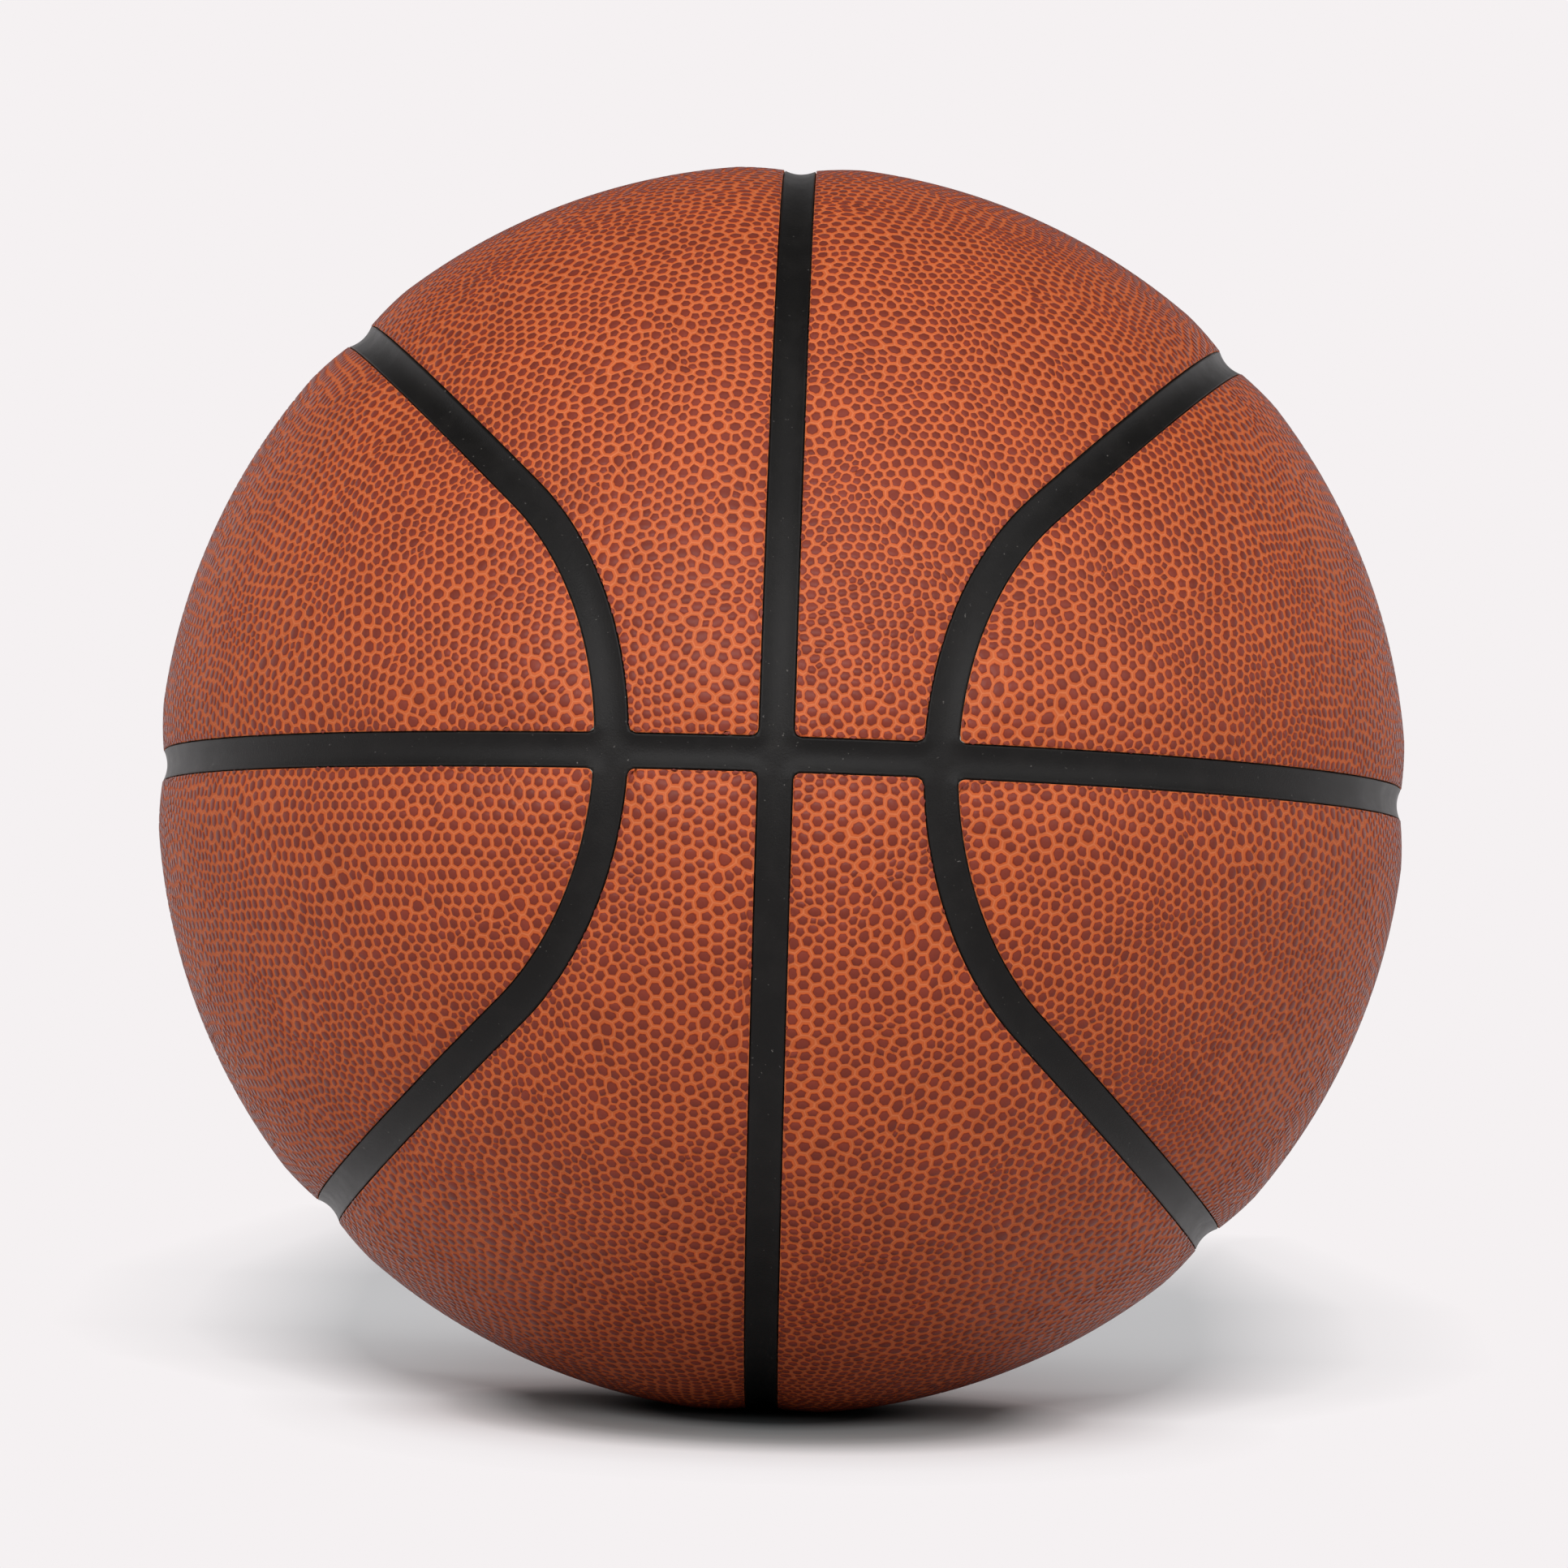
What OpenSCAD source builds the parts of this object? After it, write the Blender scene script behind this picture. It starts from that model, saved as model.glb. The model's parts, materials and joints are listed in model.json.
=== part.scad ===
// A size 7 indoor basketball with eight bonded cover panels, built up in layers from the
// air bladder outwards. Millimetres. The origin is the ball's centre and +Z is up. The
// horizontal channel lies in the plane z = 0, the vertical channel in the plane x = 0, and
// one closed loop channel runs round each of the left and right poles, on the X axis.
// The front crossing of the channels is on -Y, the back crossing on +Y.

/* [Ball] */
// Diameter over the middle of the cover panels
ball_d = 240; // [180:1:300]

/* [Channels] */
// Width of a channel, between the edges of two panels
channel_w = 6.3; // [4:0.1:8]
// Depth of the middle of a channel under the ball's outer surface
channel_depth = 1.65; // [1.45:0.05:2]
// Rise of a channel's bed from its middle to its sides
channel_rise = 0.6; // [0.3:0.05:0.9]
// Where a loop crosses the horizontal channel, in degrees from the vertical channel
loop_crossing_angle = 13.7; // [9:0.1:22]
// Tilt of the plane that each long side of a loop lies in, in degrees from horizontal
loop_tilt_angle = 45; // [38:0.5:52]

/* [Cover panels] */
// Thickness of the pebbled synthetic leather
cover_t = 1.4; // [1:0.1:2.2]
// How far a panel's edge is drawn down under the ball's outer surface
edge_drop = 0.9; // [0.4:0.05:1]
// Width of the band along its edge in which a panel rolls down
edge_roll_w = 9; // [4:0.5:14]
// Radius of that roll across the edge
edge_roll_r = 60; // [45:1:100]
// Radius of a panel's corners, where two channels cross
corner_r = 1.2; // [0.8:0.1:3]

/* [Layers under the cover] */
// Thickness of the foam backing under each panel
backing_t = 0.8; // [0.5:0.1:1.5]
// Thickness of the rubber carcass
carcass_t = 1; // [0.6:0.1:2]
// Thickness of the nylon thread winding
winding_t = 0.5; // [0.3:0.1:1]
// Thickness of the butyl air bladder
bladder_t = 0.8; // [0.5:0.1:1.5]
// Thickness of the cement between two bonded layers
glue_line = 0.05; // [0.02:0.01:0.1]

/* [Valve] */
// Angle of the valve from the back crossing of the channels, in degrees
valve_back_angle = 38; // [30:1:60]
// Diameter of the needle hole through the plug
needle_d = 1.9; // [1.5:0.1:2.4]
// Diameter of the plug's head, which shows in the cover
plug_head_d = 4.6; // [4:0.1:5]
// Thickness of the plug's head
plug_head_t = 1.6; // [1:0.1:2.5]
// Diameter of the plug's shank
plug_shank_d = 3.8; // [3:0.1:4]
// Length of the plug's shank, inside the housing
plug_shank_l = 10; // [8:0.5:16]
// Diameter of the bulb that holds the plug behind the housing
plug_bulb_d = 5.2; // [4.6:0.1:7]
// Length of that bulb
plug_bulb_l = 2.6; // [1.5:0.1:4]
// Diameter of the housing's collar, which fills the hole in the cover
collar_d = 6.4; // [6:0.1:8]
// Diameter of the housing's neck, under the cover
neck_d = 11; // [9:0.5:16]
// Diameter of the flange that is bonded inside the bladder
flange_d = 30; // [20:1:45]
// Thickness of that flange
flange_t = 1; // [0.6:0.1:2]
// How far the collar and the plug lie below the cover round them
valve_sunk = 0.25; // [0.1:0.05:0.5]

/* [Hidden] */

$fn = 96;

// Colours of the real materials
cover_colour = "#8c4a26";
channel_colour = "#1b1a1d";
foam_colour = "#d8d2c4";
carcass_colour = "#2a2a2c";
thread_colour = "#e6e2d6";
bladder_colour = "#3a3836";
valve_colour = "#121214";

// Radii of the layers, from the outside in
ball_r = ball_d / 2;
cover_in_r = ball_r - cover_t;
backing_r = cover_in_r - glue_line;
backing_in_r = backing_r - backing_t;
carcass_r = backing_in_r - glue_line;
carcass_in_r = carcass_r - carcass_t;
winding_r = carcass_in_r - glue_line;
winding_in_r = winding_r - winding_t;
bladder_r = winding_in_r - glue_line;
bladder_in_r = bladder_r - bladder_t;

// How far a cutting shape runs past what it cuts
overrun = cover_t;
reach = ball_r + overrun;

// Channel beds: strips that stand on the carcass, with a hollow top
strip_w = channel_w - 2 * glue_line;
bed_r = ball_r - channel_depth;
hollow_r = (strip_w * strip_w / 4 + channel_rise * channel_rise) / (2 * channel_rise);

// The loop: two long sides on great circles, joined by small-circle arcs round the ends.
// end_angle is an end arc's own radius and end_offset_angle its centre's angle from the
// vertical channel, both seen from the ball's centre.
end_angle = atan(
    sin(loop_tilt_angle) * sin(loop_crossing_angle)
    / (1 - sin(loop_tilt_angle) * cos(loop_crossing_angle))
);
end_offset_angle = loop_crossing_angle + end_angle;
side_start_angle = acos(cos(end_offset_angle) / cos(end_angle));
end_half_turn = acos(tan(end_angle) / tan(end_offset_angle));
end_plane_angle = atan(tan(side_start_angle) * cos(loop_tilt_angle));

// Where an end arc runs into a long side the two lap, and the end arc's section is a hair
// smaller in a strip and larger in a slot, so that no two faces of the pair coincide
lap_step = glue_line / 2;
lap_l = channel_w / 10;
lap_angle = lap_l / (ball_r * sin(end_angle)) * 180 / PI;

// A picking solid follows the middle of a loop's channel. Its round ends are a little
// wider than the channel's middle, so that its faces cross and don't just touch.
pick_spread_share = 0.2;
pick_end_angle = end_angle + asin(channel_w / ball_r) * pick_spread_share;

// The roll along a panel's edge: a circle through the panel's edge and through the point
// where the roll begins on the ball's surface
roll_turn = edge_roll_w / ball_r * 180 / PI;
roll_past_share = 1.2;

// A corner's round bite crosses the panel's walls by this share of its radius
corner_share = 0.99;

// The valve stands midway between the vertical channel and a loop's long side
valve_side_angle = loop_tilt_angle / 2;
valve_top = ball_r - valve_sunk;
neck_top = sqrt(cover_in_r * cover_in_r - neck_d * neck_d / 4) - glue_line;
plug_l = plug_head_t + plug_shank_l + plug_bulb_l;
housing_l = plug_head_t + plug_shank_l;
flange_r = bladder_in_r - glue_line;
plug_gap = glue_line;
hole_gap = 2 * glue_line;

// Angle from a channel's middle to a panel's edge, in a slot that is wider by more a side
function edge_angle(more) = asin((channel_w / 2 + more) / ball_r);

// The two ends of the roll across a panel's edge, and the centre of its circle
function roll_low(more) =
    (ball_r - edge_drop - more) * [cos(edge_angle(more)), sin(edge_angle(more))];
function roll_high(more) =
    ball_r * [cos(edge_angle(more) + roll_turn), sin(edge_angle(more) + roll_turn)];
function circle_centre(low, high, r) =
    (low + high) / 2
    + sqrt(r * r / pow(norm(high - low), 2) - 1 / 4) * [low[1] - high[1], high[0] - low[0]];

// A sphere's shell, with its poles at the front and back crossings
module shell(out_r, in_r) {
    rotate([90, 0, 0])
        difference() {
            sphere(r = out_r);
            sphere(r = in_r);
        }
}

// Cross-section of a channel strip, with the ball's centre at the origin and the strip's
// middle on the X axis. It is thinner all round by less.
module strip_section(less) {
    difference() {
        translate([carcass_r + glue_line + less, less - strip_w / 2])
            square([bed_r + channel_rise - carcass_r - glue_line - 2 * less, strip_w - 2 * less]);
        translate([bed_r + hollow_r - less, 0])
            circle(r = hollow_r);
    }
}

// Cross-section of the slot that a channel leaves between two pads, wider by more a side
module slot_section(more) {
    translate([bladder_r, -channel_w / 2 - more])
        square([reach - bladder_r, channel_w + 2 * more]);
}

// The same slot with the rolled edges of the two panels beside it
module rolled_slot_section(more) {
    past = edge_angle(more) + roll_turn * roll_past_share;
    slot_section(more);
    for (side = [0, 1]) {
        mirror([0, side])
            difference() {
                polygon([
                    [cover_in_r, 0],
                    [reach, 0],
                    reach * [cos(past), sin(past)],
                    cover_in_r * [cos(past), sin(past)]
                ]);
                translate(circle_centre(roll_low(more), roll_high(more), edge_roll_r))
                    circle(r = edge_roll_r);
            }
    }
}

// Sweeps a cross-section round a whole great circle: the horizontal or vertical channel
module horizontal_ring() {
    rotate_extrude()
        children();
}

module vertical_ring() {
    rotate([0, 90, 0])
        rotate_extrude()
            children();
}

// Sweeps a cross-section along the two long sides of the right loop
module loop_sides() {
    for (side = [-1, 1]) {
        rotate([0, -side * loop_tilt_angle, 0])
            rotate([0, 0, side_start_angle - 90])
                rotate_extrude(angle = 180 - 2 * side_start_angle)
                    children();
    }
}

// Sweeps a cross-section round the two ends of the right loop
module loop_ends() {
    for (back = [0, 1]) {
        mirror([0, back, 0])
            rotate([90, 0, end_offset_angle])
                rotate([0, 0, 180 - end_half_turn - lap_angle])
                    rotate_extrude(angle = 2 * end_half_turn + 2 * lap_angle)
                        rotate(90 - end_angle)
                            children();
    }
}

// Everything inside the middle of the right loop's channel
module loop_pick() {
    wide = reach * tan(loop_tilt_angle);
    long = reach / tan(end_plane_angle);
    intersection() {
        rotate([90, 0, 0])
            linear_extrude(height = 2 * long, center = true)
                polygon([[0, 0], [reach, wide], [reach, -wide]]);
        linear_extrude(height = 2 * wide, center = true)
            polygon([[0, 0], [reach, long], [reach, -long]]);
    }
    for (back = [0, 1]) {
        mirror([0, back, 0])
            rotate([90, 0, end_offset_angle])
                rotate_extrude()
                    polygon([
                        [0, 0],
                        2 * reach * [sin(pick_end_angle), cos(pick_end_angle)],
                        [0, 2 * reach]
                    ]);
    }
}

// The top right quarter of space, which starts inside the channels
module quarter() {
    translate([channel_w / 4, -reach, channel_w / 4])
        cube([reach, 2 * reach, reach]);
}

// Puts what is drawn for the top right quarter in any of the four quarters
module place(left, bottom) {
    mirror([left, 0, 0])
        mirror([0, 0, bottom])
            children();
}

// The corner of a panel is rounded by taking away a square with a round bite out of it.
// X and Y point from the corner into the panel.
module corner_cut() {
    rotate([90, 0, 0])
        linear_extrude(height = reach)
            difference() {
                translate([-overrun / 2, -overrun / 2])
                    square(corner_r + overrun / 2);
                translate(corner_r * corner_share * [1, 1])
                    circle(r = corner_r);
            }
}

// The two corners of a top right panel at the vertical channel, front and back
module middle_corners() {
    for (back = [0, 1]) {
        mirror([0, back, 0])
            translate([channel_w / 2, 0, channel_w / 2])
                corner_cut();
    }
}

// The corners beside a loop: turned is 0 inside the loop and 1 outside it
module loop_corners(turned) {
    for (back = [0, 1]) {
        mirror([0, back, 0])
            rotate([0, 0, loop_crossing_angle])
                mirror([turned, 0, 0])
                    translate([channel_w / 2, 0, channel_w / 2])
                        corner_cut();
    }
}

// Moves what stands on the X-Y plane to the valve, with +Z out of the ball
module at_valve() {
    rotate([0, -valve_side_angle, 0])
        rotate([valve_back_angle - 90, 0, 0])
            children();
}

// A hole for the valve, through any layer
module valve_hole(hole_d) {
    at_valve()
        translate([0, 0, valve_top - plug_l])
            cylinder(d = hole_d, h = plug_l + overrun);
}

// A round layer of the wall, with the hole for the valve's neck
module layer(out_r, in_r, colour) {
    color(colour)
        difference() {
            shell(out_r, in_r);
            valve_hole(neck_d + hole_gap);
        }
}

module bladder() {
    layer(bladder_r, bladder_in_r, bladder_colour);
}

module winding() {
    layer(winding_r, winding_in_r, thread_colour);
}

module carcass() {
    layer(carcass_r, carcass_in_r, carcass_colour);
}

// The valve's rubber housing: a flange inside the bladder, a neck through the wall, and a
// collar in the cover, bored for the plug
module valve_housing() {
    color(valve_colour)
        at_valve()
            difference() {
                union() {
                    intersection() {
                        shell(flange_r, flange_r - flange_t);
                        cylinder(d = flange_d, h = ball_r);
                    }
                    translate([0, 0, valve_top - housing_l])
                        cylinder(d = neck_d, h = neck_top - valve_top + housing_l);
                    translate([0, 0, valve_top - housing_l])
                        cylinder(d = collar_d, h = housing_l);
                }
                translate([0, 0, valve_top - housing_l - overrun])
                    cylinder(d = plug_shank_d + 2 * plug_gap, h = housing_l + 2 * overrun);
                translate([0, 0, valve_top - plug_head_t - plug_gap])
                    cylinder(d = plug_head_d + 2 * plug_gap, h = plug_head_t + overrun);
            }
}

// The soft rubber plug that the needle goes through
module valve_plug() {
    color(valve_colour)
        at_valve()
            difference() {
                union() {
                    translate([0, 0, valve_top - plug_head_t])
                        cylinder(d = plug_head_d, h = plug_head_t);
                    translate([0, 0, valve_top - plug_l])
                        cylinder(d = plug_shank_d, h = plug_l);
                    translate([0, 0, valve_top - plug_l])
                        cylinder(d = plug_bulb_d, h = plug_bulb_l - plug_gap);
                }
                translate([0, 0, valve_top - plug_l - overrun])
                    cylinder(d = needle_d, h = plug_l + 2 * overrun);
            }
}

module channel_horizontal() {
    color(channel_colour)
        horizontal_ring()
            strip_section(0);
}

// Half of the vertical channel's strip, ending at the horizontal strip's sides
module channel_vertical(bottom) {
    color(channel_colour)
        place(0, bottom)
            intersection() {
                vertical_ring()
                    strip_section(0);
                translate([-reach, -reach, channel_w / 2])
                    cube(2 * reach);
            }
}

// Half of a loop's strip
module channel_loop(left, bottom) {
    color(channel_colour)
        place(left, bottom)
            intersection() {
                union() {
                    loop_sides()
                        strip_section(0);
                    loop_ends()
                        strip_section(lap_step);
                }
                translate([-reach, -reach, channel_w / 2])
                    cube(2 * reach);
            }
}

// Cuts the slots of the horizontal channel and of the loop in the first child, which is
// a pad. The slots' cross-sections are the second child and, for the loop's ends, the
// third. Each slot is cut in a step of its own, which keeps the solids exact.
module slotted() {
    difference() {
        difference() {
            difference() {
                children(0);
                horizontal_ring()
                    children(1);
            }
            loop_sides()
                children(1);
        }
        loop_ends()
            children(2);
    }
}

// A middle pad lies between the vertical channel and a loop. Its slots' cross-sections
// are handed in: the plain one, and the one for a loop's ends.
module middle_pad(out_r, in_r, left, bottom) {
    place(left, bottom)
        difference() {
            difference() {
                slotted() {
                    difference() {
                        difference() {
                            intersection() {
                                shell(out_r, in_r);
                                quarter();
                            }
                            loop_pick();
                        }
                        vertical_ring()
                            children(0);
                    }
                    children(0);
                    children(1);
                }
                middle_corners();
            }
            loop_corners(1);
        }
}

// A side pad lies inside a loop, and takes its slots the same way
module side_pad(out_r, in_r, left, bottom) {
    place(left, bottom)
        difference() {
            slotted() {
                intersection() {
                    shell(out_r, in_r);
                    quarter();
                    loop_pick();
                }
                children(0);
                children(1);
            }
            loop_corners(0);
        }
}

module backing_middle(left, bottom) {
    color(foam_colour)
        middle_pad(backing_r, backing_in_r, left, bottom) {
            slot_section(0);
            slot_section(lap_step);
        }
}

module backing_with_valve() {
    difference() {
        backing_middle(1, 0);
        valve_hole(neck_d + hole_gap);
    }
}

module backing_side(left, bottom) {
    color(foam_colour)
        side_pad(backing_r, backing_in_r, left, bottom) {
            slot_section(0);
            slot_section(lap_step);
        }
}

module cover_middle(left, bottom) {
    color(cover_colour)
        middle_pad(ball_r, cover_in_r, left, bottom) {
            rolled_slot_section(0);
            rolled_slot_section(lap_step);
        }
}

module cover_with_valve() {
    difference() {
        cover_middle(1, 0);
        valve_hole(collar_d + hole_gap);
    }
}

module cover_side(left, bottom) {
    color(cover_colour)
        side_pad(ball_r, cover_in_r, left, bottom) {
            rolled_slot_section(0);
            rolled_slot_section(lap_step);
        }
}

bladder();
winding();
carcass();
valve_housing();
valve_plug();
channel_horizontal();
channel_vertical(0);  // channel_vertical_top
channel_vertical(1);  // channel_vertical_bottom
channel_loop(1, 0);  // channel_loop_left_top
channel_loop(1, 1);  // channel_loop_left_bottom
channel_loop(0, 0);  // channel_loop_right_top
channel_loop(0, 1);  // channel_loop_right_bottom
backing_with_valve();  // backing_middle_top_left
backing_middle(0, 0);  // backing_middle_top_right
backing_middle(1, 1);  // backing_middle_bottom_left
backing_middle(0, 1);  // backing_middle_bottom_right
backing_side(1, 0);  // backing_side_top_left
backing_side(0, 0);  // backing_side_top_right
backing_side(1, 1);  // backing_side_bottom_left
backing_side(0, 1);  // backing_side_bottom_right
cover_with_valve();  // cover_middle_top_left
cover_middle(0, 0);  // cover_middle_top_right
cover_middle(1, 1);  // cover_middle_bottom_left
cover_middle(0, 1);  // cover_middle_bottom_right
cover_side(1, 0);  // cover_side_top_left
cover_side(0, 0);  // cover_side_top_right
cover_side(1, 1);  // cover_side_bottom_left
cover_side(0, 1);  // cover_side_bottom_right
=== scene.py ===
"""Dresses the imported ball: pebbled cover panels, black rubber channels, the valve, the layers
inside, and the studio round it. Everything is in metres in the ball's own frame: +Z is up,
-Y is the front and the origin is the ball's centre."""

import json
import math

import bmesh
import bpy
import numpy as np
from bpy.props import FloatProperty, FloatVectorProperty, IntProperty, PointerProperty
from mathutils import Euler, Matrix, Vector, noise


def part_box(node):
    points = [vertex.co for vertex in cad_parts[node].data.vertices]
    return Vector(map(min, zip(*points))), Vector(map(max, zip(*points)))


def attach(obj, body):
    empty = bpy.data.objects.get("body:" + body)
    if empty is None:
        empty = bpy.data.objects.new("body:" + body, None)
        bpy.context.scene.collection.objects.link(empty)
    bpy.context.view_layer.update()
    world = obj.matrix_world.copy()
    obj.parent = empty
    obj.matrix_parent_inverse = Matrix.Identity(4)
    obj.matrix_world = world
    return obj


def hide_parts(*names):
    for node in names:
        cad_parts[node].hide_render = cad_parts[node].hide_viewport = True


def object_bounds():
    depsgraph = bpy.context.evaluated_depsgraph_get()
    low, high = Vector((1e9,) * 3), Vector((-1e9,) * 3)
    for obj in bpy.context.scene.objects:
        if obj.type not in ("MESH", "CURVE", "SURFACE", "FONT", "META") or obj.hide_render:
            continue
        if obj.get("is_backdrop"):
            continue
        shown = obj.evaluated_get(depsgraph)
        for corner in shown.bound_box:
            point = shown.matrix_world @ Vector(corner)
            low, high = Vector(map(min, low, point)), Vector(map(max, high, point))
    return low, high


bl_info = {
    "name": "Pebbled basketball",
    "version": (1, 0, 0),
    "blender": (4, 5, 0),
    "location": "3D View > Sidebar > Ball",
    "description": "Builds a basketball's pebbled covers, channels, valve and studio",
    "category": "Add Mesh",
}

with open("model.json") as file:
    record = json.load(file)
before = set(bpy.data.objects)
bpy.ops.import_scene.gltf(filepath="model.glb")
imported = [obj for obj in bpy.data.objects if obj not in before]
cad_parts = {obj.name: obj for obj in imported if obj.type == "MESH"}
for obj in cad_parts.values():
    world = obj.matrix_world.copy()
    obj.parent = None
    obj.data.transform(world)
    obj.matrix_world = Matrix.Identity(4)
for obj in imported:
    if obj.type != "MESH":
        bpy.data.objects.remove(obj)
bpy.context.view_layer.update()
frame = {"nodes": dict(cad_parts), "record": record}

# The cover's outer radius, its inner radius and the carcass that the channels stand on
SIDE_COVER = frame["nodes"]["cover_side_top_right"].data.vertices
BALL_R = max(v.co.length for v in SIDE_COVER)
COVER_IN_R = min(v.co.length for v in SIDE_COVER)
CARCASS_R = max(v.co.length for v in frame["nodes"]["carcass"].data.vertices)
# Half the width of a channel's strip, and the cement beside it and under it
STRIP_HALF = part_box("channel_horizontal")[1].z
CEMENT = 0.00005
# The panel that has the valve's hole, the hole's radius and its axis
VALVE_PANEL = "cover_middle_top_left"
VALVE_HOLE_R = 0.00325
VALVE_AXIS = np.array(
    next(m["axis"] for m in frame["record"]["mounts"] if m["name"] == "needle_bore")
)

# The panels: their CAD node, whether they are middle ones, and the signs of their x and z
PANELS = [
    (f"cover_{place}_{height}_{side}", place == "middle", x_sign, z_sign)
    for place in ("middle", "side")
    for height, z_sign in (("top", 1), ("bottom", -1))
    for side, x_sign in (("left", -1), ("right", 1))
]
# Between a panel's inner side and its outer one, while its cells lie on the unit sphere
MIDWAY = (1 + COVER_IN_R / BALL_R) / 2
# A pebble's top, with lengths in pitches: the first inset, the usual distance from a cell's
# middle to its corners, how much less of a large cell it takes, its random spread, and the
# most it takes of a cell
TOP_INSET = 0.3
USUAL_REACH = 0.58
TOP_EVENING = 0.4
TOP_SPREAD = 0.07
TOP_LARGEST = 0.85
# Room over the pebbles, so that nothing reaches past the CAD's ball
TOP_ROOM = 0.00006
# Steps of the shortest stretch of a channel, and cuts between two of its steps
FEWEST_STEPS = 8
BED_CUTS = 3

# The softboxes: azimuth, elevation, distance, and their width and height
LAMPS = {
    "front": (-7, 22, 2.0, (2.2, 0.8)),
    "left": (-50, 17, 1.6, (0.8, 1.0)),
    "right": (53, 23, 1.6, (0.8, 1.0)),
    "top": (0, 62, 1.5, (1.6, 0.8)),
}
FLOOR_RADIUS = 6
# The floor as the rays see it that only light the ball
DIM_FLOOR = (0.5, 0.49, 0.49)
# The floor's colour round the place where the ball stands, darkened there as a painted shadow
# that deepens the real one. Places are shares of twice the radius of the darkest part, and
# from the last one on the floor is lit.
CONTACT_PAINTED_SHADOW = (
    (0.17, (0.056, 0.062, 0.064)),
    (0.27, (0.30, 0.335, 0.34)),
    (0.40, (0.42, 0.45, 0.455)),
)
LIT_FROM = 0.53
# How wide the shadow is behind the ball: metres behind it, and share of the way from the
# width where the ball stands to the haze's width. Widths are held in units of SPREAD_UNIT.
SHADOW_SPREAD = ((0, 0), (0.1, 0.45), (0.2, 0.72), (0.45, 1))
SPREAD_UNIT = 0.2
# How the floor runs out into the background: to the sides, where a place of 1 is SIDE_REACH
# in the units above, and behind the ball, in metres
SIDE_REACH = 0.32
SIDE_FADE = ((0.39, 0), (0.53, 0.2), (0.625, 0.5), (0.75, 0.85), (0.91, 1))
BACK_FADE = ((0.02, 0), (0.08, 0.2), (0.5, 0.22), (1, 1))
# The backdrop ends and the ceiling begins at these heights of a unit direction
BACKDROP_END = 0.30
CEILING_START = 0.60
CEILING = (0.1, 0.1, 0.1)


def length(name, description, default):
    """A size in metres, for a group of sizes."""
    return FloatProperty(
        name=name, description=description, default=default, min=0, unit="LENGTH", precision=5
    )


def angle(name, description, degrees):
    """An angle, for a group of sizes."""
    return FloatProperty(
        name=name, description=description, default=math.radians(degrees), subtype="ANGLE"
    )


def plain(name, description, default):
    """A number without a unit, for a group of sizes."""
    return FloatProperty(name=name, description=description, default=default)


def colour(name, description, default):
    """A linear colour, for a group of finishes."""
    return FloatVectorProperty(
        name=name, description=description, default=default, subtype="COLOR", size=3, min=0, max=1
    )


class BallChannels(bpy.types.PropertyGroup):
    """Where the channels run and how they are shaped"""

    half: length("Half width", "Half of the gap between two panels", STRIP_HALF + CEMENT)
    depth: length("Depth", "Depth of a bed's middle under the ball's surface", 0.0018)
    rise: length("Rise", "Rise of a bed from its middle to its sides", 0.0008)
    gap: length("Gap", "Width of the groove between a bed and the panel beside it", 0.0003)
    lip: length("Lip", "How far a bed goes on under the panels", 0.0001)
    crossing: angle("Crossing", "Where a loop crosses the horizontal channel", 13.7)
    tilt: angle("Tilt", "Tilt of the plane of a loop's long side", 45)
    step: length("Step", "Distance between two rows of a bed's faces", 0.0009)


class BallCover(bpy.types.PropertyGroup):
    """The shape of the panels and of their pebbles"""

    edge_drop: length("Edge drop", "How far a panel's edge is drawn down", 0.0009)
    edge_roll: length("Edge roll", "Width of the band in which a panel rolls down", 0.009)
    edge_arc: length("Edge arc", "Radius of that roll, across the edge", 0.06)
    corner: length("Corner", "Radius of a panel's corners", 0.0012)
    fineness: IntProperty(
        name="Fineness", description="Each step halves the distance between two pebbles", default=7
    )
    relief: length("Pebble height", "Height of a pebble over the valleys", 0.0003)
    spread: plain("Scatter", "Random shift of a pebble, as a share of the pitch", 0.20)
    swirl: length("Swirl", "How far the rows of pebbles wander", 0.0024)
    swirl_size: length("Swirl size", "Distance over which they wander", 0.016)
    crossed: plain("Crossed", "Share of the neighbours that change places", 0.06)
    smoothing: IntProperty(
        name="Smoothing", description="Rounds in which the pebbles even out", default=1
    )
    top: plain("Pebble top", "Width of a pebble's top, as a share of its cell", 0.58)
    round: plain("Roundness", "How far a pebble's top goes from a polygon to a circle", 0.62)
    seed: IntProperty(name="Seed", description="Seed of the pebbles' random places", default=11)


class BallFinish(bpy.types.PropertyGroup):
    """The colours of the ball's materials"""

    pebble: colour("Pebble", "Top of a pebble", (0.220, 0.039, 0.023))
    # The rim is the top's colour darkened at the shoulder, a painted shade
    rim: colour("Pebble rim", "Shoulder of a pebble", (0.158, 0.019, 0.008))
    # The flank is darker partly because the leather fades from orange to maroon there, partly as
    # painted shade on the pebble's side
    flank: colour("Pebble flank", "Foot of a pebble", (0.40, 0.055, 0.011))
    web: colour("Web", "Valley between the pebbles", (0.64, 0.134, 0.037))
    # The web line is the middle of each valley, made lighter as a painted highlight
    lit_web_line: colour("Web line", "Middle of a valley", (0.75, 0.210, 0.078))
    channel: colour("Channel", "Rubber of the channels", (0.0056, 0.0050, 0.0047))
    dust: colour("Dust", "Dust on the rubber", (0.16, 0.15, 0.14))


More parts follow.
